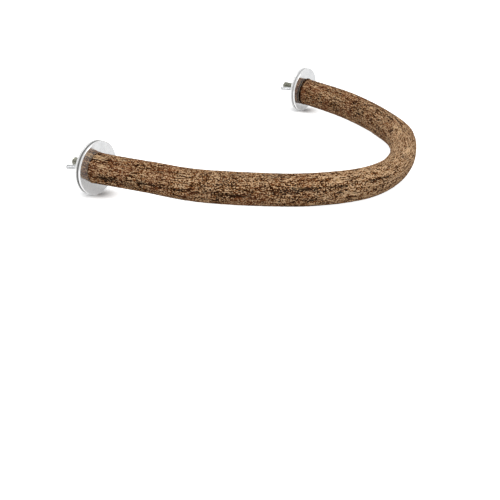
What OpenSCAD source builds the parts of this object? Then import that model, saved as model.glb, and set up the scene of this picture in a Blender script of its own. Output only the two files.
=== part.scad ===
// U-shaped natural-wood perch that clamps to a cage wall at both of its ends.
// X runs from the cage wall to the middle of the bend, Y from the left end to the
// right end, and Z is up. The origin lies midway between the two studs, in the plane
// of the inner washers' faces that bear on the cage.

/* [Branch] */
// Distance between the two studs, middle to middle
stud_spacing = 281; // [200:1:400]
// How far the middle of the wood stands out from its own cut ends at the bend
branch_reach = 158; // [110:1:240]
// Thickness of the wood
wood_d = 22; // [16:0.5:30]

/* [Washers] */
// Diameter of the four washers
washer_d = 38; // [30:0.5:60]
// Thickness of each washer
washer_t = 1.6; // [1:0.1:2.5]
// Rounding of a washer's rim
rim_round = 0.4; // [0.1:0.05:0.45]
// Space between the inner and the outer washer, where the cage bars go
bar_gap = 1.5; // [1.2:0.1:5]

/* [Hanger bolts] */
// Diameter of the thread
stud_d = 6; // [4:0.5:8]
// Length of the stud outside the wood
stud_out = 22.5; // [21:0.5:40]
// Length of the screw inside the wood
stud_in = 20; // [12:0.5:24]
// Length of the screw's point inside the wood
point_l = 7; // [3:0.5:10]
// Distance from one turn of the thread to the next
thread_pitch = 1; // [0.7:0.05:1.25]
// Depth of the thread
thread_depth = 0.6; // [0.3:0.05:0.8]
// Width of a turn's crest
thread_crest = 0.15; // [0.1:0.05:0.3]

/* [Wing nuts] */
// Diameter of the hub where it bears on the washer
hub_d = 12; // [11:0.5:16]
// Diameter of the hub at its outer end
hub_top_d = 10; // [9:0.5:14]
// Height of the hub
hub_h = 6.5; // [5:0.5:8]
// Distance across the tips of the two wings
wing_span = 28.5; // [24:0.5:36]
// Height of the wings above the hub's bearing face
wing_h = 14.5; // [12:0.5:18]
// Width of a wing's broad side
wing_w = 4.6; // [3:0.1:6]
// Thickness of a wing
wing_t = 2.2; // [1.4:0.1:4]
// Lean of a wing away from the stud
wing_lean = 38; // [30:1:45]
// Rounding of a wing's corners
wing_round = 0.6; // [0.2:0.1:1]

/* [Hidden] */
$fn = 64;

// Side clearance of a washer on its stud
hole_clear = 0.3;
// Running clearance of a wing nut's bore on the thread
thread_clear = 0.05;
// Space between the wood's end and the inner washer
end_clear = 0.2;
// Space between the outer washer and the wing nut
seat_clear = 0.1;
// Chamfer at the tip of a stud
tip_chamfer = 0.8;
// Blunt end of the screw's point, across
point_end_d = 1;
// How far from the stud a wing starts inside the hub, as a share of the hub's outer end
wing_root_share = 0.4;
// Overrun of every cut
overrun = 1;

// Route of the wood's middle from the left end to the right end. Each row holds a
// share of the reach, a share of half the stud spacing, a rise as a share of the
// wood's thickness, and the girth there as a share of the wood's thickness.
route_shares = [
    [0,     -1,     0,     1],
    [0.23,  -0.94,  0,     0.98],
    [0.47,  -0.865, 0,     0.98],
    [0.75,  -0.657, 0,     1.005],
    [0.895, -0.476, 0,     1.02],
    [0.98,  -0.28,  0,     0.985],
    [0.998, -0.07,  0,     0.925],
    [0.963, 0.143,  0,     0.865],
    [0.904, 0.313,  0,     0.875],
    [0.835, 0.45,   0,     0.955],
    [0.747, 0.574,  0,     1.02],
    [0.57,  0.732,  -0.01, 1.035],
    [0.39,  0.855,  -0.04, 1.04],
    [0.20,  0.94,   -0.06, 1.03],
    [0,     1.005,  -0.09, 1.02]];
// Rings of points along one row of the route
rings_per_row = 4;
// Points round each ring
ring_points = 20;
// How far the wood is out of round, and the turn of that shape along one row, in degrees
oval_share = 0.015;
oval_turn = 40;
// The same for the three low ridges that run along it
ridge_share = 0.012;
ridge_turn = 55;

wood_x = washer_t + end_clear;
inner_x = 0;
outer_x = -bar_gap - washer_t;
nut_x = outer_x - seat_clear;
tip_x = wood_x - stud_out;
hole_r = stud_d / 2 + hole_clear;
thread_r = stud_d / 2;
nut_bore_r = thread_r + thread_clear;
// The thread's turns are cut only where the stud shows past the wing nut
shown_l = nut_x - hub_h - tip_x;
turns = floor((shown_l - tip_chamfer - thread_pitch) / thread_pitch);

// A value part of the way from b to c on the smooth curve through a, b, c and d
function curve_value(a, b, c, d, t) =
    0.5 * (2 * b + (c - a) * t + (2 * a - 5 * b + 4 * c - d) * t * t
           + (3 * b - a - 3 * c + d) * t * t * t);

// A row of the route, continued in a straight line past either end
function route_row(i) =
    let (last = len(route_shares) - 1)
    i < 0 ? 2 * route_shares[0] - route_shares[1]
    : i > last ? 2 * route_shares[last] - route_shares[last - 1]
    : route_shares[i];

// The four shares at a place along the route, counted in rows
function route_at(s) =
    let (i = min(floor(s), len(route_shares) - 2))
    curve_value(route_row(i - 1), route_row(i), route_row(i + 1), route_row(i + 2), s - i);

// The middle of the wood at a place along the route
function wood_middle(s) =
    let (share = route_at(s))
    [wood_x + share[0] * branch_reach, share[1] * stud_spacing / 2, share[2] * wood_d];

// The direction in which the wood runs at a place along the route
function wood_heading(s) =
    let (step = 1 / rings_per_row / 4,
         ahead = wood_middle(min(s + step, len(route_shares) - 1)),
         behind = wood_middle(max(s - step, 0)))
    (ahead - behind) / norm(ahead - behind);

// Radius of the wood at a place along the route and an angle round it
function wood_radius(s, angle) =
    wood_d / 2 * route_at(s)[3]
    * (1 + oval_share * cos(2 * angle - oval_turn * s)
         + ridge_share * cos(3 * angle + ridge_turn * s));

// One point of the bark. At the two ends it is drawn along the wood onto the flat cut.
function bark_point(s, angle) =
    let (middle = wood_middle(s),
         heading = wood_heading(s),
         level = [-heading[1], heading[0], 0] / norm([heading[0], heading[1]]),
         upright = cross(heading, level),
         spot = middle + wood_radius(s, angle) * (cos(angle) * level + sin(angle) * upright),
         at_end = s == 0 || s == len(route_shares) - 1)
    at_end ? spot + heading * (wood_x - spot[0]) / heading[0] : spot;

// The bent branch with its bark on, its ends cut flat and drilled for the screws
module branch() {
    rings = (len(route_shares) - 1) * rings_per_row;
    spots = [for (i = [0 : rings], k = [0 : ring_points - 1])
        bark_point(i / rings_per_row, 360 * k / ring_points)];
    walls = [for (i = [0 : rings - 1], k = [0 : ring_points - 1], half = [0, 1])
        let (a = i * ring_points + k,
             b = i * ring_points + (k + 1) % ring_points)
        half == 0 ? [a, a + ring_points, b] : [b, a + ring_points, b + ring_points]];
    first_end = [for (k = [0 : ring_points - 1]) k];
    last_end = [for (k = [ring_points - 1 : -1 : 0]) rings * ring_points + k];
    color("saddlebrown")
        difference() {
            polyhedron(points = spots, faces = concat(walls, [first_end, last_end]), convexity = 6);
            for (side = [-1, 1])
                on_stud(side, wood_x)
                    screw_in_wood(overrun);
        }
}

// Children drawn about Z are put on one stud, with Z pointing away from the wood
module on_stud(side, x) {
    translate([x, side * stud_spacing / 2, 0])
        rotate([0, -90, 0])
            children();
}

// The length of a hanger bolt that is screwed into the wood, drawn on past the wood's
// end by a given length
module screw_in_wood(past_end) {
    translate([0, 0, point_l - stud_in])
        cylinder(r = thread_r, h = stud_in - point_l + past_end);
    translate([0, 0, -stud_in])
        cylinder(r1 = point_end_d / 2, r2 = thread_r, h = point_l);
}

// The length that stands out of the wood, turned from one outline
module stud_outside() {
    shown_start = stud_out - shown_l;
    grooves = [for (i = [turns - 1 : -1 : 0])
        let (top = shown_start + (i + 1) * thread_pitch + thread_crest,
             flank = (thread_pitch - thread_crest) / 2)
        each [[thread_r, top],
              [thread_r - thread_depth, top - flank],
              [thread_r, top - 2 * flank]]];
    rotate_extrude()
        polygon(concat([[0, 0], [0, stud_out], [thread_r - tip_chamfer, stud_out],
                        [thread_r, stud_out - tip_chamfer]],
                       grooves,
                       [[thread_r, 0]]));
}

// A steel screw with a wood thread at one end and a machine thread at the other
module hanger_bolt(side) {
    color("silver")
        on_stud(side, wood_x)
            union() {
                screw_in_wood(0);
                stud_outside();
            }
}

// A large flat washer, its back face at x and its front face nearer the wood
module washer(side, x) {
    color("gainsboro")
        translate([x, side * stud_spacing / 2, 0])
            rotate([0, 90, 0])
                rotate_extrude($fn = 96) {
                    translate([hole_r, 0])
                        square([washer_d / 2 - rim_round - hole_r, washer_t]);
                    translate([hole_r, rim_round])
                        square([washer_d / 2 - hole_r, washer_t - 2 * rim_round]);
                    for (y = [rim_round, washer_t - rim_round])
                        translate([washer_d / 2 - rim_round, y])
                            circle(r = rim_round);
                }
}

// Outline of one wing: a bar with rounded corners that leans away from the stud. Its
// outer corner ends at the span and its upper corner at the wings' height.
module wing_outline() {
    half_flat = wing_w / 2 - wing_round;
    corner = [half_flat * cos(wing_lean) + wing_round * (1 - sin(wing_lean)),
              half_flat * sin(wing_lean) + wing_round * (1 - cos(wing_lean))];
    tip = [wing_span / 2, wing_h] - corner;
    bar_l = (tip[0] - wing_root_share * hub_top_d) / sin(wing_lean);
    translate(tip)
        rotate(-wing_lean)
            translate([-wing_w / 2, -bar_l]) {
                square([wing_w, bar_l - wing_round]);
                translate([wing_round, 0])
                    square([wing_w - 2 * wing_round, bar_l]);
                for (x = [wing_round, wing_w - wing_round])
                    translate([x, bar_l - wing_round])
                        circle(r = wing_round, $fn = 32);
            }
}

// A wing nut, its bearing face against the outer washer and its wings level
module wing_nut(side) {
    color("lightgray")
        on_stud(side, nut_x)
            difference() {
                union() {
                    cylinder(d1 = hub_d, d2 = hub_top_d, h = hub_h);
                    for (turn = [0, 180])
                        rotate([0, 0, turn + 90])
                            rotate([90, 0, 0])
                                translate([0, 0, -wing_t / 2])
                                    linear_extrude(wing_t)
                                        wing_outline();
                }
                translate([0, 0, -overrun])
                    cylinder(r = nut_bore_r, h = wing_h + 2 * overrun);
            }
}

module left_hanger_bolt() { hanger_bolt(-1); }
module right_hanger_bolt() { hanger_bolt(1); }
module left_inner_washer() { washer(-1, inner_x); }
module right_inner_washer() { washer(1, inner_x); }
module left_outer_washer() { washer(-1, outer_x); }
module right_outer_washer() { washer(1, outer_x); }
module left_wing_nut() { wing_nut(-1); }
module right_wing_nut() { wing_nut(1); }

branch();
left_hanger_bolt();
right_hanger_bolt();
left_inner_washer();
right_inner_washer();
left_outer_washer();
right_outer_washer();
left_wing_nut();
right_wing_nut();
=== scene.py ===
import itertools
import logging
import math
from dataclasses import dataclass, field
from enum import Enum
from typing import Any, Iterator, Mapping, Optional, Sequence, Union

import bpy
import numpy as np
from mathutils import Matrix, Vector


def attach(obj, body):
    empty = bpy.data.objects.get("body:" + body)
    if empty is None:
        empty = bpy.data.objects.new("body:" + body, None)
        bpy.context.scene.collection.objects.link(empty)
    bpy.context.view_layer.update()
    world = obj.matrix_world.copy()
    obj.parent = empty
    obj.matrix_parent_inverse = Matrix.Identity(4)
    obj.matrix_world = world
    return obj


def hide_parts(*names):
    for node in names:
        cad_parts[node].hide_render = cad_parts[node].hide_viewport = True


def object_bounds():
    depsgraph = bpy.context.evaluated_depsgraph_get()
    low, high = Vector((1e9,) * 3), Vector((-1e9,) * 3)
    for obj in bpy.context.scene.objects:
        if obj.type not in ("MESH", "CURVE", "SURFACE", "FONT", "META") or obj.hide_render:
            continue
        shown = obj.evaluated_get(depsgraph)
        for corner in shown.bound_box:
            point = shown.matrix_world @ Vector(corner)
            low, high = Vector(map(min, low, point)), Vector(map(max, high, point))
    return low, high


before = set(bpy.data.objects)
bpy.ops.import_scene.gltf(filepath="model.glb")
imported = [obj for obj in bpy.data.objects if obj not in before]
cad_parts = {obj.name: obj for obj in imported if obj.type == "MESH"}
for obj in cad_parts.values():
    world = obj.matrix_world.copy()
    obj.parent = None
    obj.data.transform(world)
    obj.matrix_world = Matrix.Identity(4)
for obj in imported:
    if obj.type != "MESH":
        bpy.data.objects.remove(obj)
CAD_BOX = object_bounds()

LOG = logging.getLogger("perch")
MM = 0.001
SPACING = 281 * MM  # between the studs
END_X = 1.8 * MM  # where both ends of the wood are cut
WASHER_RADIUS = 19 * MM
MIDDLE = 0.5  # of a noise's values
Colour = tuple[float, float, float]
Row = tuple[float, ...]
Array = np.ndarray
Thing = bpy.types.Object


def from_screen(*levels: float) -> Colour:
    """Turns a colour as a screen shows it into the linear colour of a shader.

    Each channel c goes to ((c + 0.055) / 1.055) ** 2.4, or to c / 12.92 where it is very dark.

    Args:
        levels: Red, green and blue, 0 to 255.

    Returns:
        The linear red, green and blue, 0 to 1.
    """
    channels = (level / 255 for level in levels)
    return tuple(c / 12.92 if c <= 0.04045 else ((c + 0.055) / 1.055) ** 2.4 for c in channels)


# ---- Shader maths ----


class Signal:
    """One shader value. Arithmetic on it adds the Math nodes that do the sum."""

    def __init__(self, bench: "Bench", socket: bpy.types.NodeSocket) -> None:
        """Keeps the socket and the bench that it belongs to."""
        self.bench = bench
        self.socket = socket

    def _maths(self, operation: str, first: "Value", second: "Value") -> "Signal":
        """Adds one Math node and returns its result."""
        sockets = {0: first, 1: second}
        return self.bench.value("ShaderNodeMath", 0, {"operation": operation}, sockets)

    def __add__(self, other: "Value") -> "Signal":
        """self + other"""
        return self._maths("ADD", self, other)

    def __radd__(self, other: "Value") -> "Signal":
        """other + self"""
        return self._maths("ADD", other, self)

    def __sub__(self, other: "Value") -> "Signal":
        """self - other"""
        return self._maths("SUBTRACT", self, other)

    def __rsub__(self, other: "Value") -> "Signal":
        """other - self"""
        return self._maths("SUBTRACT", other, self)

    def __mul__(self, other: "Value") -> "Signal":
        """self * other"""
        return self._maths("MULTIPLY", self, other)

    def __rmul__(self, other: "Value") -> "Signal":
        """other * self"""
        return self._maths("MULTIPLY", other, self)

    def __truediv__(self, other: "Value") -> "Signal":
        """self / other"""
        return self._maths("DIVIDE", self, other)

    def fraction(self) -> "Signal":
        """Returns what self has past its last whole number."""
        return self._maths("FRACT", self, 0.0)

    def stirred(self, *layers: tuple["Signal", float]) -> "Signal":
        """Adds each layer's swing about its middle, times the weight beside it."""
        return sum(((layer - MIDDLE) * weight for layer, weight in layers), self)

    def step(self, low: float, high: float) -> "Signal":
        """Rises smoothly from 0 to 1 as self goes from low to high.

        Args:
            low: Where the result is 0. It may be the larger of the two.
            high: Where the result is 1.

        Returns:
            The result, 0 to 1.
        """
        sockets = {"Value": self, "From Min": min(low, high), "From Max": max(low, high)}
        sockets.update({"To Min": float(low > high), "To Max": float(low < high)})
        settings = {"interpolation_type": "SMOOTHSTEP"}
        return self.bench.value("ShaderNodeMapRange", "Result", settings, sockets)


Value = Union[Signal, float, int, Sequence[float]]


@dataclass(frozen=True)
class Pattern:
    """A cloudy noise or a mosaic of cells.

    It has a size in metres, a scale for each axis, the noise's detail and roughness, and the
    weights that it gets in a tone and in a height.
    """

    size: float
    scale: Row = (1, 1, 1)
    detail: float = 2.0
    rough: float = 0.5
    tone: float = 0.0
    height: float = 0.0


@dataclass(frozen=True)
class Spots(Pattern):
    """Scattered spots: their radius as a share of a cell, and the share of cells without one."""

    reach: float = 0.5
    rarity: float = 0.5


class Bench:
    """The node tree of one material or world, and the only place where its nodes are made."""

    def __init__(self, tree: bpy.types.NodeTree) -> None:
        """Clears the tree and keeps it."""
        self.tree = tree
        tree.nodes.clear()

    def node(
        self,
        kind: str,
        settings: Optional[Mapping[str, Any]] = None,
        sockets: Optional[Mapping[Union[str, int], Value]] = None,
    ) -> bpy.types.Node:
        """Adds a node.

        Args:
            kind: Blender's name for the node's type.
            settings: What is set before its sockets. The key stops fills a colour ramp.
            sockets: A value or a link for each named or numbered input.

        Returns:
            The node.
        """
        made = self.tree.nodes.new(kind)
        for key, value in (settings or {}).items():
            if key == "stops":
                self._fill_ramp(made.color_ramp, value)
            else:
                setattr(made, key, value)
        for key, value in (sockets or {}).items():
            if isinstance(value, Signal):
                self.tree.links.new(value.socket, made.inputs[key])
            else:
                made.inputs[key].default_value = value
        return made

    @staticmethod
    def _fill_ramp(ramp: bpy.types.ColorRamp, stops: Sequence[tuple[float, Colour]]) -> None:
        """Puts the stops into a colour ramp.

        Args:
            ramp: The ramp.
            stops: A place and a colour for each stop.
        """
        while len(ramp.elements) < len(stops):
            ramp.elements.new(0.5)
        for element, (place, colour) in zip(ramp.elements, stops):
            element.position = place
            element.color = (*colour, 1)

    def signal(self, node: bpy.types.Node, output: Union[str, int]) -> Signal:
        """Returns one output of a node as a value."""
        return Signal(self, node.outputs[output])

    def value(self, kind: str, output: Union[str, int], *parts: Any) -> Signal:
        """Adds a node from its settings and sockets, and returns one of its outputs."""
        return self.signal(self.node(kind, *parts), output)

    def attribute(self, name: str, output: str = "Fac") -> Signal:
        """Returns a value that the mesh keeps on its points."""
        return self.value("ShaderNodeAttribute", output, {"attribute_name": name})

    def scaled(self, place: Signal, scale: Row) -> Signal:
        """Returns the place with each axis scaled, so that a pattern on it is drawn out."""
        return self.value("ShaderNodeMapping", 0, None, {"Vector": place, "Scale": scale})

    def reading(self, place: Signal, pattern: Pattern) -> dict[str, Value]:
        """Returns the sockets that read a pattern at a place."""
        return {"Vector": self.scaled(place, pattern.scale), "Scale": 1 / pattern.size}

    def noise(self, place: Signal, pattern: Pattern, output: str = "Fac") -> Signal:
        """Reads a pattern as cloudy noise.

        Args:
            place: Where it is read.
            pattern: The pattern.
            output: Fac for one value, or Color for three.

        Returns:
            The noise, 0 to 1 round its middle.
        """
        sockets = self.reading(place, pattern)
        sockets.update({"Detail": pattern.detail, "Roughness": pattern.rough})
        return self.value("ShaderNodeTexNoise", output, None, sockets)

    def noises(self, place: Signal, *patterns: Pattern) -> Iterator[Signal]:
        """Returns each of the patterns as cloudy noise."""
        return (self.noise(place, pattern) for pattern in patterns)

    def blend(
        self, share: Value, first: Union[Signal, Colour], second: Union[Signal, Colour]
    ) -> Signal:
        """Mixes two colours.

        Args:
            share: The share of the second, 0 to 1.
            first: The first colour.
            second: The second colour.

        Returns:
            The mixture.
        """
        pair = [c if isinstance(c, Signal) else (*c, 1) for c in (first, second)]
        sockets = {0: share, 6: pair[0], 7: pair[1]}
        return self.value("ShaderNodeMix", 2, {"data_type": "RGBA"}, sockets)

    def bump(self, height: Signal, distance: float, strength: float) -> Signal:
        """Returns a normal bent by a height field whose full height is distance, in metres."""
        sockets = {"Height": height, "Distance": distance, "Strength": strength}
        return self.value("ShaderNodeBump", 0, None, sockets)

    def rays(self) -> tuple[Signal, Signal]:
        """Tells the camera's rays, and those of mirrors and glass, apart from the rest.

        Returns:
            1 for what the camera sees, and 1 for what mirrors and glass see.
        """
        path = self.node("ShaderNodeLightPath")
        mirror = self.signal(path, "Is Glossy Ray") + self.signal(path, "Is Transmission Ray")
        return self.signal(path, "Is Camera Ray"), mirror

    def finish(self, shader: Signal) -> None:
        """Joins the shader to the material's output."""
        self.node("ShaderNodeOutputMaterial", None, {"Surface": shader})

    def surface(self, sockets: Mapping[str, Value]) -> None:
        """Gives the material one Principled shader."""
        self.finish(self.value("ShaderNodeBsdfPrincipled", 0, None, sockets))


# ---- Finishes ----


@dataclass(frozen=True)
class Finish:
    """What every finish has: a name and a way to become a material."""

    name: str

    def material(self) -> bpy.types.Material:
        """Builds the material.

        Returns:
            The material, with its tree filled.
        """
        made = bpy.data.materials.new(self.name)
        made.use_nodes = True
        self.dress(Bench(made.node_tree))
        return made

    def dress(self, bench: Bench) -> None:
        """Fills the material's node tree."""
        raise NotImplementedError


@dataclass(frozen=True)
class BarkFinish(Finish):
    """Thin brown bark: chips and fibres drawn out along the wood, pale flecks and dark pits.

    The bark carries six values on its points: grain, its place along and round the wood; relief,
    0 in a furrow to 1 on a ridge; one for scars and knots, which also carries the painted shade at
    both cut ends where the wood meets the washers; bare, how near a place is where the outer bark
    has flaked off; tan, how much lighter and less ruddy it is; and coarse, how large its chips are.
    A pair of tones or shares is what plain bark has, and what such a value adds or takes.
    """

    name: str = "brown_bark"
    pit: Colour = from_screen(34, 14, 3)
    dark: Colour = from_screen(86, 43, 13)
    brown: Colour = from_screen(119, 75, 40)
    middle: Colour = from_screen(150, 104, 63)
    light: Colour = from_screen(188, 140, 90)
    pale: Colour = from_screen(240, 203, 162)
    golden: Colour = from_screen(190, 146, 92)
    orange: Colour = from_screen(168, 104, 58)
    red: Colour = from_screen(142, 84, 54)
    grey: Colour = from_screen(118, 106, 92)
    # The tones of the colours from pit to pale
    stops: Row = (0.0, 0.22, 0.45, 0.60, 0.78, 1.0)
    sway: Pattern = Pattern(7 * MM, (0.3, 1, 1), 1.0, height=1.0 * MM)
    chips: Pattern = Pattern(1.15 * MM, (0.5, 1, 1), height=0.2)
    slabs: Pattern = Pattern(2.1 * MM, (0.5, 1, 1))
    grit: Pattern = Pattern(0.75 * MM, (0.4, 1, 1), tone=0.5)
    grains: Pattern = Pattern(0.62 * MM, (0.4, 1, 1), 0.0, tone=0.5, height=0.4)
    fibres: Pattern = Pattern(0.7 * MM, (0.11, 1, 1), 1.0, tone=2.6, height=0.35)
    speckle: Pattern = Pattern(0.62 * MM, (0.7, 1, 1), 0.0, tone=2.9)
    streaks: Pattern = Pattern(1.2 * MM, (0.07, 1, 1), 2.0, 0.6, tone=0.5, height=0.2)
    bands: Pattern = Pattern(3.4 * MM, (0.04, 1, 1), tone=0.7)
    splits: Pattern = Pattern(3.0 * MM, (0.07, 1, 1), 1.0)
    patches: Pattern = Pattern(17 * MM)
    hues: Spots = Spots(1.0 * MM, (0.3, 1, 1), reach=0.6, rarity=0.66)
    flecks: Spots = Spots(0.75 * MM, (0.5, 1, 1), tone=0.9, reach=0.5, rarity=0.66)
    gold: Spots = Spots(1.4 * MM, (0.3, 1.1, 1.1), tone=0.2, reach=0.35, rarity=0.86)
    pits: Spots = Spots(0.8 * MM, (0.28, 1, 1), tone=0.8, height=0.4, reach=0.42, rarity=0.84)
    spot_core: float = 0.45
    spot_step: float = 0.04
    chip_tones: Row = (0.15, 0.45)
    crack_tones: Row = (0.1, 0.3)
    crack_level: float = 0.4
    crack_depth: float = 0.25
    contrasts: Row = (1.1, 0.5)
    relief_level: float = 0.55
    # Painted light on the ridges and painted shade in the furrows, following the relief
    relief_tone: float = 0.25
    tan_tone: float = 0.26
    # Darkening over scars, knots and the painted shade at the cut ends
    knot_tone: float = 0.10
    base_tone: float = 0.515
    hue_shares: Row = (0.5, 0.2)
    ruddy_share: float = 0.32
    grey_share: float = 0.12
    split_share: float = 0.4
    flake_share: float = 0.8
    # Share of pit colour over scars, knots and the painted shade at the cut ends
    scar_share: float = 0.93
    # How far fibres and grains fray the edge of a flaked place, and of scars and the painted shade
    # at the cut ends
    flake_frays: Row = (1.4, 1.2)
    scar_fray: float = 2.0
    inner_weight: float = 1.5
    # Where each of these starts to show, and where it shows in full
    chip_edge: Row = (0.2, 0.03)
    split_sides: tuple[Row, Row] = ((0.47, 0.495), (0.53, 0.505))
    split_bands: Row = (0.52, 0.42)
    ruddy_edge: Row = (0.50, 0.66)
    grey_edge: Row = (0.46, 0.32)
    inner_edge: Row = (1.15, 1.75)
    flake_edge: Row = (0.45, 0.6)
    scar_edge: Row = (0.55, 0.95)
    rough: Row = (0.78, 0.2)
    shine: float = 0.05
    depth: float = 0.6 * MM

    def dress(self, bench: Bench) -> None:
        """Fills the tree from the values on the bark's points.

        Args:
            bench: The material's node tree.
        """
        place = bench.attribute("grain", "Vector")
        # The second value is scars and knots, with the painted shade at the cut ends
        names = ("relief", "knot", "bare", "tan", "coarse")
        relief, knot, bare, tan, coarse = map(bench.attribute, names)
        sway = {0: bench.noise(place, self.sway, "Color"), 1: (self.sway.height,) * 3, 2: place}
        bent = bench.value("ShaderNodeVectorMath", 0, {"operation": "MULTIPLY_ADD"}, sway)
        grains, fibres, splits = bench.noises(bent, self.grains, self.fibres, self.splits)
        speckle, streaks, bands = bench.noises(place, self.speckle, self.streaks, self.bands)
        patches = bench.noise(place, self.patches)
        grit = self._cells(bench, place, self.grit)[1]
        sizes = (self._chips(bench, bent, pattern) for pattern in (self.chips, self.slabs))
        mosaic, crack = (fine * (1 - coarse) + large * coarse for fine, large in zip(*sizes))
        fissure = splits.step(*self.split_sides[0]) * splits.step(*self.split_sides[1])
        fissure = fissure * bands.step(*self.split_bands)
        tone = (mosaic - MIDDLE) * (self.chip_tones[0] + coarse * self.chip_tones[1])
        tone = tone.stirred((speckle, self.speckle.tone), (grit, self.grit.tone))
        tone = tone.stirred((grains, self.grains.tone), (fibres, self.fibres.tone))
        cracked = self.crack_tones[0] + coarse * self.crack_tones[1]
        tone = tone - (crack - self.crack_level) * cracked
        # Contrast rises over scars, knots and the painted shade at the cut ends
        tone = tone * (self.contrasts[0] + knot * self.contrasts[1])
        tone = tone.stirred((streaks, self.streaks.tone), (bands, self.bands.tone))
        # Painted light on the ridges and painted shade in the furrows, following the relief
        tone = tone + (relief - self.relief_level) * self.relief_tone
        # Darker over scars, knots and the painted shade at the cut ends
        tone = tone.stirred((tan, self.tan_tone)) + self.base_tone - knot * self.knot_tone
        pits = self._spots(bench, bent, self.pits)
        flake = bare.stirred((fibres, self.flake_frays[0]), (grains, self.flake_frays[1]))
        flake = flake.step(*self.flake_edge)
        # Scars, knots and the painted shade where the cut ends meet the washers, frayed by grains
        # and fibres
        scar_and_end_shade_mask = knot.stirred((grains, self.scar_fray), (fibres, self.scar_fray))
        scar_and_end_shade_mask = scar_and_end_shade_mask.step(*self.scar_edge)
        inner = (grains * self.inner_weight + fibres * self.inner_weight).step(*self.inner_edge)
        colours = (self.pit, self.dark, self.brown, self.middle, self.light, self.pale)
        stops = list(zip(self.stops, colours))
        colour = bench.value("ShaderNodeValToRGB", 0, {"stops": stops}, {0: tone})
        hues = self._spots(bench, bent, self.hues)
        layers = (
            (hues * (self.hue_shares[0] - tan * self.hue_shares[1]), self.orange),
            (patches.step(*self.ruddy_edge) * (1 - tan) * self.ruddy_share, self.red),
            (patches.step(*self.grey_edge) * self.grey_share, self.grey),
            (self._spots(bench, bent, self.flecks) * self.flecks.tone, self.pale),
            (self._spots(bench, place, self.gold) * self.gold.tone, self.golden),
            (pits * self.pits.tone, self.pit),
            (fissure * self.split_share, self.pit),
            (flake * self.flake_share, bench.blend(inner, self.golden, self.pale)),
            (scar_and_end_shade_mask * self.scar_share, self.pit),
        )
        for share, top in layers:
            colour = bench.blend(share, colour, top)
        lift = grains * self.grains.height + fibres * self.fibres.height
        lift = lift + streaks * self.streaks.height + (mosaic + grit) * self.chips.height
        lift = lift - crack * self.crack_depth - (pits + scar_and_end_shade_mask + fissure) * self.pits.height
        bench.surface(
            {
                "Base Color": colour,
                "Roughness": self.rough[0] + fibres * self.rough[1],
                "Normal": bench.bump(lift, self.depth, 1.0),
                "Specular IOR Level": self.shine,
            }
        )

    @staticmethod
    def _cells(bench: Bench, place: Signal, pattern: Pattern) -> tuple[Signal, Signal]:
        """Draws a mosaic of cells.

        Args:
            bench: The material's node tree.
            place: Where it is read.
            pattern: The size and shape of its cells.

        Returns:
            The distance from the middle of each cell, and the cell's own tone.
        """
        cells = bench.node("ShaderNodeTexVoronoi", None, bench.reading(place, pattern))
        tone = bench.value("ShaderNodeSeparateColor", 0, None, {0: bench.signal(cells, "Color")})
        return bench.signal(cells, "Distance"), tone

    def _chips(self, bench: Bench, place: Signal, pattern: Pattern) -> tuple[Signal, Signal]:
        """Draws chips of bark of about one size.

        Args:
            bench: The material's node tree.
            place: Where they are read.
            pattern: Their size and shape.

        Returns:
            Each chip's own tone, and 1 along its edges.
        """
        parts = ({"feature": "DISTANCE_TO_EDGE"}, bench.reading(place, pattern))
        edges = bench.value("ShaderNodeTexVoronoi", "Distance", *parts)
        return self._cells(bench, place, pattern)[1], edges.step(*self.chip_edge)

    def _spots(self, bench: Bench, place: Signal, spots: Spots) -> Signal:
        """Draws scattered spots.

        Args:
            bench: The material's node tree.
            place: Where they are read.
            spots: Their size, shape and rarity.

        Returns:
            1 inside the spots, and 0 between them.
        """
        distance, tone = self._cells(bench, place, spots)
        inside = distance.step(spots.reach, spots.reach * self.spot_core)
        return inside * tone.step(spots.rarity, spots.rarity + self.spot_step)


@dataclass(frozen=True)
class CutWoodFinish(Finish):
    """Bare sawn end of the wood: growth rings round the pith, and fine fibres."""

    name: str = "sawn_wood"
    pale: Colour = from_screen(206, 176, 134)
    ring: Colour = from_screen(164, 122, 80)
    ring_size: float = 0.9 * MM
    ring_edge: Row = (0.55, 0.95)
    ring_share: float = 0.7
    wobble: Pattern = Pattern(3 * MM, height=1.2 * MM)
    fibres: Pattern = Pattern(0.35 * MM, detail=3.0, tone=0.4, height=0.15 * MM)
    rough: float = 0.8
    bump: float = 0.6

    def dress(self, bench: Bench) -> None:
        """Fills the tree: rings follow the distance from the pith, kept in the grain attribute.

        Args:
            bench: The material's node tree.
        """
        flat = bench.scaled(bench.attribute("grain", "Vector"), (0, 1, 1))
        away = bench.value("ShaderNodeVectorMath", "Value", {"operation": "LENGTH"}, {0: flat})
        turn = (away + bench.noise(flat, self.wobble) * self.wobble.height) / self.ring_size
        rings = turn.fraction().step(*self.ring_edge)
        fibres = bench.noise(flat, self.fibres)
        colour = bench.blend(fibres * self.fibres.tone, self.pale, self.ring)
        bench.surface(
            {
                "Base Color": bench.blend(rings * self.ring_share, colour, self.ring),
                "Roughness": self.rough,
                "Normal": bench.bump(fibres, self.fibres.height, self.bump),
            }
        )


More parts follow.
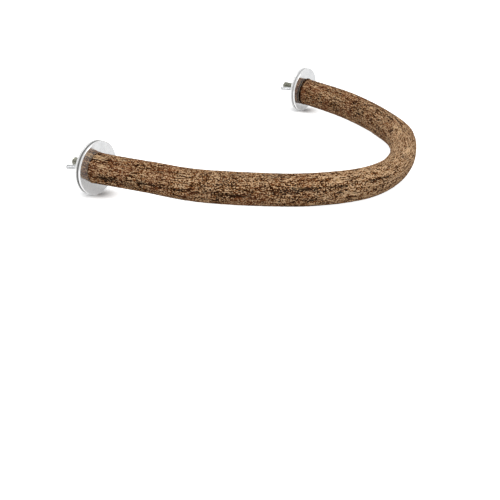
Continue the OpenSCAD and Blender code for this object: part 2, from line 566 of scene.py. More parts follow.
@dataclass(frozen=True)
class SteelFinish(Finish):
    """Bright zinc-plated steel with faint smudges, fine brush lines and a slight waviness.

    A piece's points carry up to three values from 0 to 1: matt where it stays dull, rim where an
    edge is burnished, and groove, painted shade in a thread's roots and between two washers.
    """

    name: str = "bright_steel"
    light: Colour = (0.80, 0.81, 0.815)
    dull: Colour = (0.69, 0.70, 0.71)
    burnished: Colour = (0.99, 0.99, 0.99)
    # Painted shade for a thread's roots and for the gap between two washers
    oil: Colour = from_screen(52, 50, 26)
    metal: float = 0.82
    matt_metal: float = 0.6
    gloss: float = 0.09
    smudge: float = 0.08
    matt_rough: float = 0.4
    clouds: Pattern = Pattern(5 * MM, detail=3.0, rough=0.6, tone=0.6)
    specks: Pattern = Pattern(5 * MM / 12, rough=0.6, tone=0.2, height=0.05)
    brush: Pattern = Pattern(0.5 * MM, (1, 1, 0.08), rough=0.6, tone=0.2, height=0.05)
    waves: Pattern = Pattern(6 * MM, detail=1.0, rough=0.4, height=0.02 * MM)
    worn_edge: Row = (0.42, 0.64)
    worn_share: float = 0.8
    bump: float = 0.6

    def dress(self, bench: Bench) -> None:
        """Fills the tree from Object coordinates and the values on the steel's points.

        Args:
            bench: The material's node tree.
        """
        place = bench.value("ShaderNodeTexCoord", "Object")
        matt, rim, groove = map(bench.attribute, ("matt", "rim", "groove"))
        clouds, specks, brush = bench.noises(place, self.clouds, self.specks, self.brush)
        worn = clouds * self.clouds.tone + specks * self.specks.tone + brush * self.brush.tone
        worn = worn.step(*self.worn_edge)
        ripple = bench.noise(place, self.waves) + specks * self.specks.height
        ripple = ripple + brush * self.brush.height
        colour = bench.blend(worn * self.worn_share, self.light, self.dull)
        # rim lightens a burnished edge; groove paints shade over the colour
        for share, top in ((rim, self.burnished), (groove, self.oil)):
            colour = bench.blend(share, colour, top)
        bench.surface(
            {
                "Base Color": colour,
                "Metallic": self.metal - matt * self.matt_metal,
                "Roughness": self.gloss + worn * self.smudge + matt * self.matt_rough,
                "Normal": bench.bump(ripple, self.waves.height, self.bump),
            }
        )


@dataclass(frozen=True)
class FloorFinish(Finish):
    """Plain white floor. What the camera and the steel see of it is lifted to white.

    The camera's lift fades out round the two washers' feet, which paints a faint shadow there
    and lets their cast shadows stay.
    """

    name: str = "white_floor"
    paint: Colour = (0.75, 0.75, 0.75)
    camera_paint: Colour = (0.85, 0.85, 0.85)
    camera_lift: float = 0.95
    mirror_lift: float = 0.46
    foot_reach: float = 20 * MM

    def dress(self, bench: Bench) -> None:
        """Fills the tree: matt paint, with a light of its own for camera and mirror rays.

        Args:
            bench: The material's node tree.
        """
        camera, mirror = bench.rays()
        place = bench.value("ShaderNodeTexCoord", "Object")
        lift = camera * self.camera_lift
        # Painted shadow: the camera's lift fades out near each washer's foot
        for y in (-SPACING / 2, SPACING / 2):
            sockets = {0: place, 1: (0.0, y, -WASHER_RADIUS)}
            away = bench.value("ShaderNodeVectorMath", "Value", {"operation": "DISTANCE"}, sockets)
            lift = lift - camera * away.step(self.foot_reach, 0.0) * self.camera_lift
        lift = lift + mirror * self.mirror_lift
        colour = bench.blend(camera, self.paint, self.camera_paint)
        paint = bench.value("ShaderNodeBsdfDiffuse", 0, None, {"Color": colour})
        glow = bench.value("ShaderNodeEmission", 0, None, {"Strength": lift})
        bench.finish(bench.value("ShaderNodeAddShader", 0, None, {0: paint, 1: glow}))


# ---- Mesh helpers ----


class LatticeNoise:
    """Seeded smooth noise, -1 to 1: random values on a cube lattice, blended between the corners
    with the fade 6t^5 - 15t^4 + 10t^3."""

    SHIFT = 7.3  # keeps one layer's lattice off the next

    def __init__(self, seed: int, size: int = 64) -> None:
        """Draws the lattice."""
        self.size = size
        self.values = np.random.default_rng(seed).uniform(-1, 1, (size, size, size))

    def __call__(self, points: Array) -> Array:
        """Reads the noise.

        Args:
            points: An array whose last axis holds x, y and z.

        Returns:
            One value for each point.
        """
        cell = np.floor(points).astype(int)
        t = points - cell
        fade = t * t * t * (t * (6 * t - 15) + 10)
        total = np.zeros(points.shape[:-1])
        for corner in itertools.product((0, 1), repeat=3):
            pick = (cell + corner) % self.size
            weight = np.prod(np.where(corner, fade, 1 - fade), axis=-1)
            total += weight * self.values[pick[..., 0], pick[..., 1], pick[..., 2]]
        return total

    def layered(self, points: Array, layers: int = 2) -> Array:
        """Adds layers of noise, each at twice the pitch and half the height of the last."""
        return sum(self(points * 2**k + self.SHIFT * k) / 2**k for k in range(layers))


@dataclass
class Skin:
    """Vertices and four-sided faces that become one mesh piece, with values kept on its points."""

    points: list[Array] = field(default_factory=list)
    faces: list[Array] = field(default_factory=list)
    slots: list[Array] = field(default_factory=list)
    values: dict[str, list[Array]] = field(default_factory=dict)

    def add_grid(
        self, grid: Array, wrap_rows: bool = False, slot: int = 0, **values: Array
    ) -> None:
        """Adds a sheet of quads whose columns close into rings.

        Args:
            grid: Points by row and column, in metres.
            wrap_rows: Whether the last row also joins the first, as on a ring with a hole.
            slot: The material slot of its faces.
            values: Arrays by row and column that are kept on the points.
        """
        rows, columns = grid.shape[:2]
        row, column = np.meshgrid(
            np.arange(rows if wrap_rows else rows - 1), np.arange(columns), indexing="ij"
        )
        next_row, next_column = (row + 1) % rows, (column + 1) % columns
        corners = ((row, column), (row, next_column), (next_row, next_column), (next_row, column))
        quads = np.stack([r * columns + c for r, c in corners], axis=-1).reshape(-1, 4)
        self.faces.append(quads + sum(len(points) for points in self.points))
        self.slots.append(np.full(len(quads), slot))
        self.points.append(grid.reshape(-1, 3))
        for name, value in values.items():
            self.values.setdefault(name, []).append(value.reshape(rows * columns, -1))

    def piece(
        self, name: str, finishes: Sequence[Finish], merge: float = 0.001 * MM
    ) -> Thing:
        """Makes the mesh object, smooth-shaded, with its doubled points merged and faces outwards.

        Args:
            name: The piece's name.
            finishes: One finish for each material slot.
            merge: Points nearer than this become one, which closes poles.

        Returns:
            The object, at the origin.
        """
        mesh = bpy.data.meshes.new(name)
        points, faces = np.concatenate(self.points), np.concatenate(self.faces)
        mesh.from_pydata(points.tolist(), [], faces.tolist())
        mesh.polygons.foreach_set("material_index", np.concatenate(self.slots).astype(np.int32))
        for key, parts in self.values.items():
            block = np.concatenate(parts).astype(np.float32)
            kind, slot = ("FLOAT_VECTOR", "vector") if block.shape[1] == 3 else ("FLOAT", "value")
            mesh.attributes.new(key, kind, "POINT").data.foreach_set(slot, block.ravel())
        for finish in finishes:
            mesh.materials.append(finish.material())
        mesh.shade_smooth()
        made = link(name, mesh)
        clean_up(made, merge)
        return made


def link(name: str, data: bpy.types.ID) -> Thing:
    """Puts a mesh, light or camera into the scene as an object at the origin.

    Args:
        name: The object's name.
        data: The mesh, light or camera.

    Returns:
        The object.
    """
    made = bpy.data.objects.new(name, data)
    bpy.context.scene.collection.objects.link(made)
    return made


def clean_up(piece: Thing, merge: float) -> None:
    """Merges doubled points and turns all faces outwards.

    Args:
        piece: The piece.
        merge: How near two points are that become one, in metres.
    """
    bpy.context.view_layer.objects.active = piece
    bpy.ops.object.select_all(action="DESELECT")
    piece.select_set(True)
    bpy.ops.object.mode_set(mode="EDIT")
    bpy.ops.mesh.select_all(action="SELECT")
    bpy.ops.mesh.remove_doubles(threshold=merge)
    bpy.ops.mesh.normals_make_consistent(inside=False)
    bpy.ops.object.mode_set(mode="OBJECT")


def apply_modifiers(piece: Thing) -> None:
    """Makes every modifier's result the piece's own mesh.

    Args:
        piece: The piece.
    """
    bpy.context.view_layer.objects.active = piece
    for modifier in list(piece.modifiers):
        bpy.ops.object.modifier_apply(modifier=modifier.name)


def full_turn(count: int) -> Array:
    """Returns count even angles from 0 up to a full turn, in radians."""
    return np.linspace(0, 2 * np.pi, count, endpoint=False)


def rings(radius: Array, height: Array, angle: Array) -> Array:
    """Draws rings round the Z axis: each point is (r cos a, r sin a, z).

    Args:
        radius: The radius by row, or by row and angle.
        height: The height by row.
        angle: The angles.

    Returns:
        The points by row and angle.
    """
    return np.stack([radius * np.cos(angle), radius * np.sin(angle), height + 0 * angle], axis=-1)


def corner_arc(centre: Row, radius: float, start: float, stop: float, count: int) -> Array:
    """Returns count points of an arc, from start to stop in degrees, as a profile."""
    angle = np.radians(np.linspace(start, stop, count))
    return np.stack([np.cos(angle), np.sin(angle)], axis=-1) * radius + centre


def catmull_rom(rows: Array, place: Array) -> Array:
    """Reads the smooth curve through the rows of a table.

    Between rows b and c, with a before and d after them, and t the share of the way, it is
    half of 2b + (c - a)t + (2a - 5b + 4c - d)t^2 + (3b - a - 3c + d)t^3. Past either end the
    table goes on in a straight line.

    Args:
        rows: The table.
        place: Where the curve is read, counted in rows.

    Returns:
        One row for each place.
    """
    first, last = 2 * rows[0] - rows[1], 2 * rows[-1] - rows[-2]
    table = np.vstack([first, rows, last])
    i = np.minimum(place.astype(int), len(rows) - 2)
    t = (place - i)[:, None]
    a, b, c, d = (table[i + k] for k in range(4))
    return 0.5 * (
        2 * b + (c - a) * t + (2 * a - 5 * b + 4 * c - d) * t**2 + (3 * b - a - 3 * c + d) * t**3
    )


# ---- The perch ----


class Side(Enum):
    """The two ends of the perch, each with the sign of its place along Y."""

    LEFT = -1
    RIGHT = 1

    @property
    def word(self) -> str:
        """The side's name as the nodes spell it."""
        return self.name.lower()

    @property
    def grime(self) -> float:
        """How dark the painted shade is on the washers' faces that face each other, 0 to 1."""
        # Painted shade in the gap between the left pair of washers
        return 0.4 if self is Side.LEFT else 0.0

    def put(self, grid: Array, x: float) -> Array:
        """Moves points drawn about Z onto this side's stud.

        Z turns to -X, away from the wood. Y turns to -Z, which keeps a right-hand screw
        right-handed.

        Args:
            grid: The points as they are drawn.
            x: Where the start of the drawing goes.

        Returns:
            The points on the stud.
        """
        drawn_x, drawn_y, drawn_z = np.moveaxis(grid, -1, 0)
        return np.stack([x - drawn_z, self.value * SPACING / 2 + drawn_x, -drawn_y], axis=-1)


class Layer(Enum):
    """The two washers on each stud, with the place of their face nearer to the wood."""

    INNER = 1.6 * MM
    OUTER = -1.5 * MM


def settle(piece: Thing, body: str, slot: str, *nodes: str) -> Thing:
    """Says what a piece rides on and stands for.

    Args:
        piece: The piece.
        body: The body that it rides on.
        slot: The name of a material slot for its finish; not used.
        nodes: The CAD nodes that it replaces.

    Returns:
        The same piece.
    """
    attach(piece, body)
    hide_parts(*nodes)
    LOG.info("%s rides on %s and stands for %s", piece.name, body, ", ".join(nodes))
    return piece


@dataclass(frozen=True)
class Swell:
    """Noise in the bark's shape: its pitch along and round the wood in millimetres, its height,
    and how far it is moved."""

    pitch: Row
    height: float
    shift: float = 0.0

    def place(self, grain: Array) -> Array:
        """Returns where the noise is read for points of the bark."""
        return grain / np.array(self.pitch) / MM + self.shift


@dataclass(frozen=True)
class CutEnd:
    """The bark's edge at one end: how deep and how far it frays, its lip and its painted shade."""

    fray: float
    reach: float
    lip: float
    dark: float


@dataclass
class Branch:
    """The bent wood with its bark, cut flat at both ends."""

    reach: float = 158 * MM
    thickness: float = 22 * MM
    rows: int = 540
    columns: int = 176
    cap_rings: int = 7
    # Lengths from either end to its first rings. The rest stand evenly between the last of these
    end_rings: Row = (0, 0.35 * MM, 0.7 * MM, 1.1 * MM, 1.6 * MM)
    samples: int = 4001
    nudge: float = 0.001
    # Shares of the radius, and degrees of turn for each row of the route
    oval: Row = (0.015, 40)
    ridges: Row = (0.012, 55)
    square_off: float = 14 * MM
    lumps: Swell = Swell((34, 11, 11), 0.22 * MM)
    flutes: Swell = Swell((75, 4.6, 4.6), 0.35 * MM, 17)
    furrows: Swell = Swell((9, 2.1, 2.1), 0.14 * MM, 9)
    granules: Swell = Swell((2.0, 1.5, 1.5), 0.07 * MM, 31)
    fullness: float = 0.08 * MM
    furrow_edge: float = 3.2
    furrow_least: float = 0.35
    relief_level: float = 0.55
    relief_range: float = 3
    # dark is how strong the painted shade is where that end meets its washer
    ends: tuple[CutEnd, CutEnd] = (
        CutEnd(fray=0.3 * MM, reach=0.4 * MM, lip=0.1 * MM, dark=1.0),
        CutEnd(fray=1.4 * MM, reach=1.3 * MM, lip=0.55 * MM, dark=2.2),
    )
    lip_length: float = 0.3 * MM
    # How far the painted shade at a cut end goes, in shares of that end's reach
    dark_reach: float = 1.6
    seed: int = 11
    # Share of the reach, share of half the spacing, rise and girth as shares of the thickness
    route: tuple[Row, ...] = (
        (0, -1, 0, 1), (0.23, -0.94, 0, 0.98), (0.47, -0.865, 0, 0.98),
        (0.75, -0.657, 0, 1.005), (0.895, -0.476, 0, 1.02), (0.98, -0.28, 0, 0.985),
        (0.998, -0.07, 0, 0.925), (0.963, 0.143, 0, 0.865), (0.904, 0.313, 0, 0.875),
        (0.835, 0.45, 0, 0.955), (0.747, 0.574, 0, 1.02), (0.57, 0.732, -0.01, 1.035),
        (0.39, 0.855, -0.04, 1.04), (0.20, 0.94, -0.06, 1.03), (0, 1.005, -0.09, 1.02),
    )
    # Place along the route in rows, and how much lighter and less ruddy the bark is there
    tan: tuple[Row, ...] = ((0, 0.1), (3, 0.2), (4.3, 1), (7, 1), (9, 0.6), (11, 0), (14, 0))
    # Place along the route in rows, and how large the bark's chips are there
    coarse: tuple[Row, ...] = ((0, 0.1), (6, 0), (7.5, 0.1), (9, 0.5), (11, 0.4), (12.5, 0.1))
    # Scars and knots: place in rows, angle in degrees, half length, half width and depth in mm
    scars: tuple[Row, ...] = (
        (1.15, 186, 11, 1.3, 0.5), (0.35, 196, 9, 2.2, 0.3), (3.35, 156, 12, 1.5, 0.4),
        (4.1, 155, 16, 0.9, 0.35), (5.1, 152, 16, 0.8, 0.3), (3.43, 196, 7, 0.9, 0.4),
        (2.45, 185, 12, 1.6, 0.3), (4.04, 174, 2.2, 1.6, 0.3), (9.8, 88, 18, 0.9, 0.5),
        (10.2, 70, 12, 0.8, 0.4), (9.2, 38, 5, 3.0, 0.4), (12.6, 62, 9, 1.0, 0.3),
        (6.3, 250, 4.5, 3.0, 0.6), (1.9, 330, 4, 3.2, 0.6), (10.9, 285, 5, 3.2, 0.6),
        (8.1, 330, 12, 1.4, 0.4),
    )
    # Places where the outer bark has flaked off, in the same form
    flakes: tuple[Row, ...] = (
        (0.12, 118, 5, 1.8, 0.15), (0.50, 112, 4, 1.2, 0.1), (0.22, 150, 2.5, 2.0, 0.1),
        (3.22, 152, 6, 1.0, 0.1), (4.27, 182, 4, 0.9, 0.1), (4.05, 130, 5, 2.2, 0.1),
        (12.87, 42, 2.5, 1.0, 0.15), (12.4, 36, 6, 0.9, 0.1), (10.0, 102, 14, 1.2, 0.2),
        (9.3, 60, 5, 2.0, 0.2), (8.7, 70, 6, 2.4, 0.2), (11.0, 60, 4, 1.6, 0.1),
        (6.9, 118, 8, 2.0, 0.1), (5.5, 300, 7, 2.4, 0.2), (2.6, 280, 6, 1.8, 0.2),
        (11.6, 230, 8, 2.2, 0.2),
    )

    def middle(self, place: Array) -> Array:
        """Returns the middle of the wood at places along the route, counted in rows."""
        share = catmull_rom(np.array(self.route, float), place)[:, :3]
        return (END_X, 0, 0) + share * (self.reach, SPACING / 2, self.thickness)

    def even_places(self) -> tuple[Array, Array]:
        """Finds the places of the rings: even steps of the wood's length, and finer at both ends.

        Returns:
            The places along the route, counted in rows, and the length to each.
        """
        fine = np.linspace(0, len(self.route) - 1, self.samples)
        steps = np.linalg.norm(np.diff(self.middle(fine), axis=0), axis=1)
        length = np.concatenate([[0], np.cumsum(steps)])
        *edges, start = self.end_rings
        inner = np.linspace(start, length[-1] - start, self.rows - 2 * len(edges))
        wanted = np.concatenate([edges, inner, length[-1] - np.array(edges[::-1])])
        return np.interp(wanted, length, fine), wanted

    def marks(
        self, table: Sequence[Row], length: Array, angle: Array, place: Array
    ) -> tuple[Array, Array]:
        """Works out scars or flaked places.

        Each one is exp(-d^2), where d^2 is (run / half length)^2 + (turn / half width)^2, with
        run and turn the distances to its middle along and round the unrolled bark.

        Args:
            table: The scars or the flakes.
            length: Length along the wood, by row.
            angle: Angle round it, by column.
            place: Place along the route, by row.

        Returns:
            How deep the marks sink, and how near the nearest is, 0 to 1.
        """
        depth = np.zeros((len(length), len(angle)))
        near = np.zeros_like(depth)
        for where, degrees, half_length, half_width, sink in table:
            run = (length - np.interp(where, place, length))[:, None]
            turn = (angle - math.radians(degrees) + np.pi) % (2 * np.pi) - np.pi
            across = turn * self.thickness / 2
            mark = np.exp(-((run / (half_length * MM)) ** 2) - (across / (half_width * MM)) ** 2)
            depth += sink * MM * mark
            near = np.maximum(near, mark)
        return depth, near

    def relief(self, grain: Array) -> tuple[Array, Array]:
        """Works out the height of the bark over the plain wood.

        Lumps are broad noise, flutes are long ridges, furrows are the valleys where long narrow
        noise crosses zero, and granules are small noise.

        Args:
            grain: Place along and round the bark, by row and column.

        Returns:
            The height in metres, and the fine part of it from 0 to 1 for the finish.
        """
        noise = LatticeNoise(self.seed)
        lumps, flutes = (noise(swell.place(grain)) for swell in (self.lumps, self.flutes))
        crossings, granules = (
            noise.layered(swell.place(grain)) for swell in (self.furrows, self.granules)
        )
        valleys = 1 - np.clip(np.abs(crossings) * self.furrow_edge, 0, 1)
        valleys *= self.furrow_least + (1 - self.furrow_least) * np.clip(lumps + MIDDLE, 0, 1)
        fine = self.granules.height * granules - self.furrows.height * valleys
        lift = self.lumps.height * lumps + self.flutes.height * flutes + self.fullness + fine
        seen = self.relief_level + fine / (self.relief_range * self.furrows.height)
        return lift, np.clip(seen, 0, 1)

    def skin(self) -> Skin:
        """Builds the bark and the two cut ends.

        A ring's point is the middle plus radius * (cos a * level + sin a * upright). The radius is
        half the thickness, times the girth there, times 1 + oval cos(2a - p) + ridges cos(3a + q),
        where p and q grow along the wood, plus the relief of the bark. Near an end each ring is
        leaned by 1 - 3t^2 + 2t^3, with t from 0 at the end to 1 at square_off, so that it lies in
        the cut there.

        Returns:
            The skin, with the cut ends in the second slot.
        """
        place, length = self.even_places()
        angle = full_turn(self.columns)
        half = self.thickness / 2
        ahead = self.middle(np.minimum(place + self.nudge, len(self.route) - 1))
        behind = self.middle(np.maximum(place - self.nudge, 0))
        heading = (ahead - behind) / np.linalg.norm(ahead - behind, axis=1, keepdims=True)
        level = np.stack([-heading[:, 1], heading[:, 0], 0 * place], axis=-1)
        level /= np.linalg.norm(level, axis=1, keepdims=True)
        upright = np.cross(heading, level)
        grain = np.roll(rings(np.full((len(length), 1), half), length[:, None], angle), 1, axis=-1)
        lift, relief = self.relief(grain)
        scar_depth, dark = self.marks(self.scars, length, angle, place)
        flake_depth, bare = self.marks(self.flakes, length, angle, place)
        lift -= scar_depth + flake_depth
        for end, edge in zip(self.ends, (length, length[-1] - length)):
            lift -= end.fray * np.clip(1 - edge / end.reach, 0, 1)[:, None] ** 2
            lift += (end.fray + end.lip) * np.clip(1 - edge / self.lip_length, 0, 1)[:, None]
            # Painted shade at each cut end, where the wood meets the washer, joins the scars' value
            shade = np.clip((self.dark_reach - edge / end.reach) * end.dark, 0, end.dark)
            dark = np.maximum(dark, shade[:, None])
        girth = catmull_rom(np.array(self.route, float), place)[:, 3:]
        shape = 1 + self.oval[0] * np.cos(2 * angle - np.radians(self.oval[1]) * place[:, None])
        shape += self.ridges[0] * np.cos(3 * angle + np.radians(self.ridges[1]) * place[:, None])
        spoke = np.cos(angle)[:, None] * level[:, None] + np.sin(angle)[:, None] * upright[:, None]
        out = (half * girth * shape + lift)[..., None] * spoke
        inward = np.clip(np.minimum(length, length[-1] - length) / self.square_off, 0, 1)
        lean = 1 - inward**2 * (3 - 2 * inward)
        shift = -out[..., 0] / heading[:, :1] * lean[:, None]
        centre = self.middle(place)
        grid = centre[:, None] + out + shift[..., None] * heading[:, None]
        grid[..., 0] = np.minimum(grid[..., 0], CAD_BOX[1][0])
        tan, coarse = (
            np.interp(place, *zip(*table))[:, None] + 0 * angle for table in (self.tan, self.coarse)
        )
        skin = Skin()
        # The scars' value also carries the painted shade at the cut ends
        looks = {"relief": relief, "knot": dark, "bare": bare, "tan": tan, "coarse": coarse}
        skin.add_grid(grid, grain=grain, **looks)
        share = np.linspace(1, 0, self.cap_rings)[:, None, None]
        blank = dict.fromkeys(looks, np.zeros((self.cap_rings, self.columns)))
        for row in (0, -1):
            cap = centre[row] + (grid[row] - centre[row]) * share
            marks = grain[row] * (1, 0, 0) + grain[row] * (0, 1, 1) * share
            skin.add_grid(cap, slot=1, grain=marks, **blank)
        return skin

    def build(self) -> Thing:
        """Makes the piece and lets it ride on the perch."""
        piece = self.skin().piece("bark_covered_branch", [BarkFinish(), CutWoodFinish()])
        return settle(piece, "perch", "bark", "branch")


@dataclass
class Washer:
    """One of the four large washers, with a rounded rim and a hole that clears the stud."""

    side: Side
    layer: Layer
    hole: float = 3.3 * MM
    thickness: float = 1.6 * MM
    rim: float = 0.4 * MM
    lip: float = 0.15 * MM
    margin: float = 1 * MM
    turns: int = 160
    face_rings: int = 9
    lip_points: int = 4
    rim_points: int = 7
    matt_edge: float = 4
    burnish_edge: float = 3

    def profile(self) -> Array:
        """Draws the washer's section: flat faces, a rounded rim and a rounded hole.

        Returns:
            Its closed outline, as radius and height.
        """
        top, low, high = self.thickness, self.hole + self.lip, WASHER_RADIUS - self.rim
        face = np.linspace(self.hole + self.margin, WASHER_RADIUS - self.margin, self.face_rings)
        return np.concatenate(
            [
                corner_arc((low, self.lip), self.lip, 180, 270, self.lip_points),
                np.stack([face, 0 * face], axis=-1),
                corner_arc((high, self.rim), self.rim, -90, 0, self.rim_points),
                corner_arc((high, top - self.rim), self.rim, 0, 90, self.rim_points),
                np.stack([face[::-1], 0 * face + top], axis=-1),
                corner_arc((low, top - self.lip), self.lip, 90, 180, self.lip_points),
            ]
        )

    def build(self) -> Thing:
        """Makes the piece and lets it ride on its own body.

        Only the face away from the other washer is polished, and the rim is burnished. Height in
        the profile grows towards the nut, so the polished face is the low one on the inner washer.

        Returns:
            The piece.
        """
        profile = self.profile()
        rise = profile[:, 1] / self.thickness
        dullness = rise if self.layer is Layer.INNER else 1 - rise
        matt = np.clip(dullness * self.matt_edge - (self.matt_edge - 1), 0, 1)
        edge = (profile[:, 0] - WASHER_RADIUS + self.rim) / self.rim
        rim = np.maximum(np.clip(edge * self.burnish_edge, 0, 1), matt)
        angle = full_turn(self.turns)
        # groove paints shade on the faces that look at the other washer, on the left side only
        values = {"matt": matt, "rim": rim, "groove": matt * self.side.grime}
        spread = {name: value[:, None] + 0 * angle for name, value in values.items()}
        grid = self.side.put(rings(profile[:, :1], profile[:, 1:], angle), self.layer.value)
        skin = Skin()
        skin.add_grid(grid, wrap_rows=True, **spread)
        name = f"{self.side.word}_{self.layer.name.lower()}"
        finish = SteelFinish(name=f"mirror_steel_{name}")
        piece = skin.piece(f"{name}_mirror_washer", [finish])
        return settle(piece, name, "washer_steel", f"{name}_washer")


@dataclass
class HangerBolt:
    """A steel screw with a wood thread inside the branch and a machine thread outside."""

    side: Side
    radius: float = 2.97 * MM
    out: float = 22.5 * MM
    inside: float = 20 * MM
    point: float = 7 * MM
    blunt: float = 0.06
    chamfer: float = 0.8 * MM
    pitch: float = 1.0 * MM
    depth: float = 0.55 * MM
    # Shares of half a turn: where a crest ends, and over how much its flank falls
    flank: Row = (0.12, 0.76)
    shank: Row = (-2.0 * MM, 0.8 * MM)
    shank_depth: float = 0.1 * MM
    wood_pitch: float = 2.5 * MM
    wood_depth: float = 0.9 * MM
    wood_flank: Row = (0.08, 0.45)
    wood_hollow: float = 0.6
    # The painted shade in the thread's roots is the share of the thread's depth, times the first
    # of these, less the second
    oil: Row = (1.4, 0.3)
    tip_ring: float = 0.5
    rows_per_mm: float = 12
    columns: int = 72

    def radius_at(self, height: Array, angle: Array) -> Array:
        """Works out the thread.

        The place in a turn is the fraction of height / pitch - angle / 2 pi, so a line of equal
        place climbs with the angle as a right-hand screw does. The machine thread is a V with
        narrow flats, and the wood thread a thin fin on a slim core. The tip is chamfered, and
        the other end runs out to a point.

        Args:
            height: Height from the wood's end, outwards, by row.
            angle: Angle about the stud, by column.

        Returns:
            The radius by row and column.
        """
        h, turn = np.meshgrid(height, angle / (2 * np.pi), indexing="ij")
        threads = ((self.pitch, *self.flank), (self.wood_pitch, *self.wood_flank))
        fine, coarse = (
            np.clip((np.abs(((h / pitch - turn) % 1) * 2 - 1) - crest) / fall, 0, 1)
            for pitch, crest, fall in threads
        )
        machine = self.radius - self.depth * fine
        wood = self.radius - self.wood_depth * coarse**self.wood_hollow
        plain = np.full_like(h, self.radius - self.shank_depth)
        radius = np.where(h > self.shank[1], machine, np.where(h < self.shank[0], wood, plain))
        radius = np.minimum(radius, self.radius - np.clip(h - (self.out - self.chamfer), 0, None))
        taper = np.clip((h + self.inside) / self.point, 0, 1)
        return radius * (self.blunt + (1 - self.blunt) * taper)

    def build(self) -> Thing:
        """Makes the piece and lets it ride on the perch.

        Returns:
            The piece.
        """
        count = int((self.out + self.inside) / MM * self.rows_per_mm)
        height, angle = np.linspace(-self.inside, self.out, count), full_turn(self.columns)
        radius = self.radius_at(height, angle)
        # Painted shade in the thread's roots, where the radius falls below the crest
        groove = np.clip((self.radius - radius) / self.depth * self.oil[0] - self.oil[1], 0, 1)
        groove *= height[:, None] < self.out - self.chamfer
        grid = rings(radius, height[:, None], angle)
        start, stop = (grid[row] * (0, 0, 1) for row in (0, -1))
        tip = grid[-1] * (self.tip_ring, self.tip_ring, 1)
        grid = np.concatenate([[start], grid, [tip, stop]])
        groove = np.concatenate([groove[:1], groove, 0 * groove[-2:]])
        skin = Skin()
        skin.add_grid(self.side.put(grid, END_X), groove=groove)
        word = self.side.word
        finish = SteelFinish(
            name=f"stud_steel_{word}", light=(0.56, 0.56, 0.49), dull=(0.36, 0.36, 0.29), gloss=0.2
        )
        piece = skin.piece(f"{word}_threaded_stud", [finish])
        return settle(piece, "perch", "stud_steel", f"{word}_hanger_bolt")


@dataclass
class WingNut:
    """A wing nut: a tapered hub with a bore, and two straight flat wings that lean outwards."""

    side: Side
    start: float = -3.2 * MM
    bore: float = 3.12 * MM
    hub: Row = (5.95 * MM, 4.95 * MM)
    hub_height: float = 6.45 * MM
    hub_points: tuple[int, int, int] = (4, 8, 5)
    edge: float = 0.45 * MM
    span: float = 28.3 * MM
    height: float = 14.4 * MM
    width: float = 4.6 * MM
    thick: float = 2.2 * MM
    lean: float = 38.0
    corner: float = 0.6 * MM
    thinning: float = 0.6
    root: float = 4.0 * MM
    turns: int = 96
    wing_rows: tuple[int, int] = (20, 7)
    wing_columns: int = 48
    squareness: float = 6
    voxel: float = 0.2 * MM
    smoothing: tuple[float, int] = (0.5, 4)

    def hub_grid(self) -> Array:
        """Turns the hub's section, a tapered wall with rounded edges round a bore.

        Returns:
            The hub's points by row and angle.
        """
        bottom, top = self.hub
        e, h, b = self.edge, self.hub_height, self.bore
        low, wall, high = self.hub_points
        profile = np.concatenate(
            [
                [[b + e / 2, 0.0]],
                corner_arc((bottom - e / 2, e / 2), e / 2, -90, 0, low),
                np.linspace((bottom, e), (top, h - e), wall)[1:-1],
                corner_arc((top - e, h - e), e, 0, 90, high),
                [[b + e, h], [b, h - e], [b, e / 2]],
            ]
        )
        return rings(profile[:, :1], profile[:, 1:], full_turn(self.turns))

    def wing_grid(self, turn: int) -> Array:
        """Builds one wing.

        A ring round the bar is the squared circle (|x| / w)^6 + (|y| / t)^6 = 1. It is carried
        along the bar from inside the hub, and drawn in over the last stretch to round the tip.

        Args:
            turn: 1 or -1, for the side of the hub that the wing stands on.

        Returns:
            The points by ring and column, with a point at each end.
        """
        lean, corner = math.radians(self.lean), self.corner
        half = self.width / 2 - corner
        bar = np.array([math.sin(lean), math.cos(lean)])
        wide = np.array([math.cos(lean), -math.sin(lean)])
        over = half * bar[::-1] + corner * (1 - bar)
        tip = np.array([self.span / 2, self.height]) - over
        run = (tip[0] - self.root) / math.sin(lean)
        rows, tip_rows = self.wing_rows
        rounding = corner * (1 - np.sin(np.linspace(0, np.pi / 2, tip_rows)[1:]))
        down = np.concatenate([np.linspace(run, corner, rows), rounding])
        past = np.clip(corner - down, 0, None)
        shrink = corner - np.sqrt(np.clip(corner**2 - past**2, 0, None))
        angle = full_turn(self.wing_columns)
        side, face = (
            np.sign(v) * np.abs(v) ** (2 / self.squareness) for v in (np.cos(angle), np.sin(angle))
        )
        across = (self.width / 2 - shrink)[:, None] * side
        through = (self.thick / 2 - self.thinning * shrink)[:, None] * face
        flat = tip - down[:, None, None] * bar + across[..., None] * wide
        grid = np.stack([turn * flat[..., 0], turn * through, flat[..., 1]], axis=-1)
        root, end = (0 * grid[row] + grid[row].mean(axis=0) for row in (0, -1))
        return np.concatenate([[root], grid, [end]])

    def build(self) -> Thing:
        """Makes the piece, melts it into one casting and lets it ride on the nut's body.

        Returns:
            The piece.
        """
        skin = Skin()
        skin.add_grid(self.side.put(self.hub_grid(), self.start), wrap_rows=True)
        for turn in (-1, 1):
            skin.add_grid(self.side.put(self.wing_grid(turn), self.start))
        word = self.side.word
        finish = SteelFinish(
            name=f"nut_steel_{word}", light=(0.70, 0.71, 0.72), dull=(0.44, 0.45, 0.46), gloss=0.14
        )
        piece = skin.piece(f"{word}_cast_wing_nut", [finish])
        melt = piece.modifiers.new("melt", "REMESH")
        melt.mode, melt.voxel_size, melt.use_smooth_shade = "VOXEL", self.voxel, True
        soften = piece.modifiers.new("soften", "SMOOTH")
        soften.factor, soften.iterations = self.smoothing
        apply_modifiers(piece)
        return settle(piece, f"{word}_nut", "nut_steel", f"{word}_wing_nut")


# ---- The studio ----


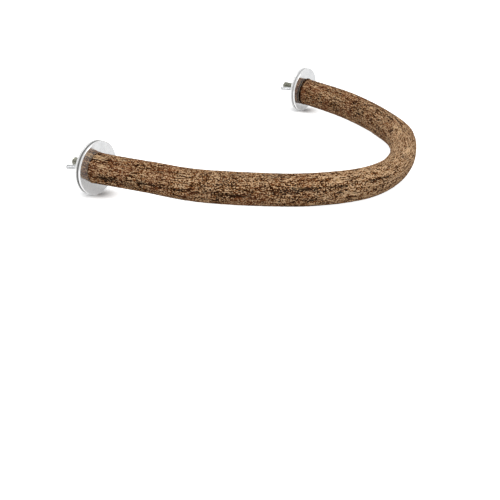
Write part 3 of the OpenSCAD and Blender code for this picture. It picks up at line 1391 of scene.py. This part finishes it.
@dataclass
class Studio:
    """The floor that the perch lies on, one soft lamp, the world and the camera."""

    lens: float = 74.95
    sensor: float = 36.0
    clip: Row = (0.01, 50)
    camera_at: Row = (0.4478, -0.6565, 0.2443)
    elevation: float = 23.92
    azimuth: float = 31.8
    roll: float = 3.5
    lamp_at: Row = (0.34, -0.22, 1.15)
    lamp_aim: Row = (0.08, 0.0, 0.0)
    lamp_size: float = 0.8
    lamp_power: float = 6.8
    washer_foot: Row = (1.2 * MM, -WASHER_RADIUS)
    slope_from: float = 40 * MM
    floor_gap: float = 0.05 * MM
    floor_size: float = 5.0
    sky: float = 0.48
    mirrored_sky: float = 0.8

    def floor_slope(self, branch: Thing) -> float:
        """Returns the floor's rise per metre of X, so that it meets the washers and the bend.

        It is the smallest slope from the washers' foot to any point of the wood past slope_from.

        Args:
            branch: The finished branch.

        Returns:
            The slope.
        """
        points = np.empty(len(branch.data.vertices) * 3, np.float32)
        branch.data.vertices.foreach_get("co", points)
        points = points.reshape(-1, 3)
        far = points[points[:, 0] > self.slope_from]
        return float(((far[:, 2] - self.washer_foot[1]) / (far[:, 0] - self.washer_foot[0])).min())

    def build_floor(self, branch: Thing) -> None:
        """Makes the floor, a large square in the plane under the washers and the bend.

        Args:
            branch: The finished branch.
        """
        slope = self.floor_slope(branch)
        steps = np.array([-self.floor_size, self.floor_size])
        x, y = np.meshgrid(steps, steps, indexing="ij")
        z = self.washer_foot[1] - self.floor_gap + slope * (x - self.washer_foot[0])
        mesh = bpy.data.meshes.new("studio_floor")
        corners = np.stack([x, y, z], axis=-1).reshape(-1, 3)
        mesh.from_pydata(corners.tolist(), [], [(0, 2, 3, 1)])
        mesh.materials.append(FloorFinish().material())
        link("studio_floor", mesh)
        LOG.info("floor rises %.2f degrees towards the bend", math.degrees(math.atan(slope)))

    def build_lamp(self) -> None:
        """Makes the square soft lamp."""
        data = bpy.data.lights.new("overhead_softbox", "AREA")
        data.shape, data.size, data.energy = "SQUARE", self.lamp_size, self.lamp_power
        lamp = link("overhead_softbox", data)
        lamp.location = self.lamp_at
        look = Vector(self.lamp_aim) - Vector(self.lamp_at)
        lamp.rotation_euler = look.to_track_quat("-Z", "Y").to_euler()

    def build_world(self) -> None:
        """Makes the world: white for the camera, pale for mirrors, and soft light for surfaces."""
        world = bpy.data.worlds.new("white_room")
        bpy.context.scene.world = world
        world.use_nodes = True
        bench = Bench(world.node_tree)
        camera, mirror = bench.rays()
        strength = camera + mirror * self.mirrored_sky + (1 - camera - mirror) * self.sky
        sockets = {"Color": (1.0, 1.0, 1.0, 1.0), "Strength": strength}
        shader = bench.value("ShaderNodeBackground", 0, None, sockets)
        bench.node("ShaderNodeOutputWorld", None, {"Surface": shader})

    def build_camera(self) -> None:
        """Makes the camera.

        It looks along d = (-sin a cos e, cos a cos e, -sin e), for azimuth a and elevation e. Its
        right is d x Z and its up is right x d, both then turned by the roll.
        """
        e, a, roll = (math.radians(v) for v in (self.elevation, self.azimuth, self.roll))
        look = Vector((-math.sin(a) * math.cos(e), math.cos(a) * math.cos(e), -math.sin(e)))
        right = look.cross(Vector((0, 0, 1))).normalized()
        up = right.cross(look)
        turned_right = right * math.cos(roll) + up * math.sin(roll)
        turned_up = up * math.cos(roll) - right * math.sin(roll)
        data = bpy.data.cameras.new("studio_camera")
        data.lens, data.sensor_width = self.lens, self.sensor
        data.clip_start, data.clip_end = self.clip
        camera = link("studio_camera", data)
        turn = Matrix((turned_right, turned_up, -look)).transposed()
        camera.matrix_world = Matrix.Translation(self.camera_at) @ turn.to_4x4()
        bpy.context.scene.camera = camera

    def build(self, branch: Thing) -> None:
        """Makes the whole studio round the finished branch.

        Args:
            branch: The finished branch.
        """
        bpy.context.scene.view_settings.view_transform = "Standard"
        self.build_camera()
        self.build_floor(branch)
        self.build_world()
        self.build_lamp()


def main() -> None:
    """Builds the perch piece by piece, then the studio round it."""
    logging.basicConfig(level=logging.INFO, format="%(name)s: %(message)s")
    branch = Branch().build()
    for side in Side:
        HangerBolt(side).build()
        for layer in Layer:
            Washer(side, layer).build()
        WingNut(side).build()
    Studio().build(branch)


if __name__ == "__main__":
    main()
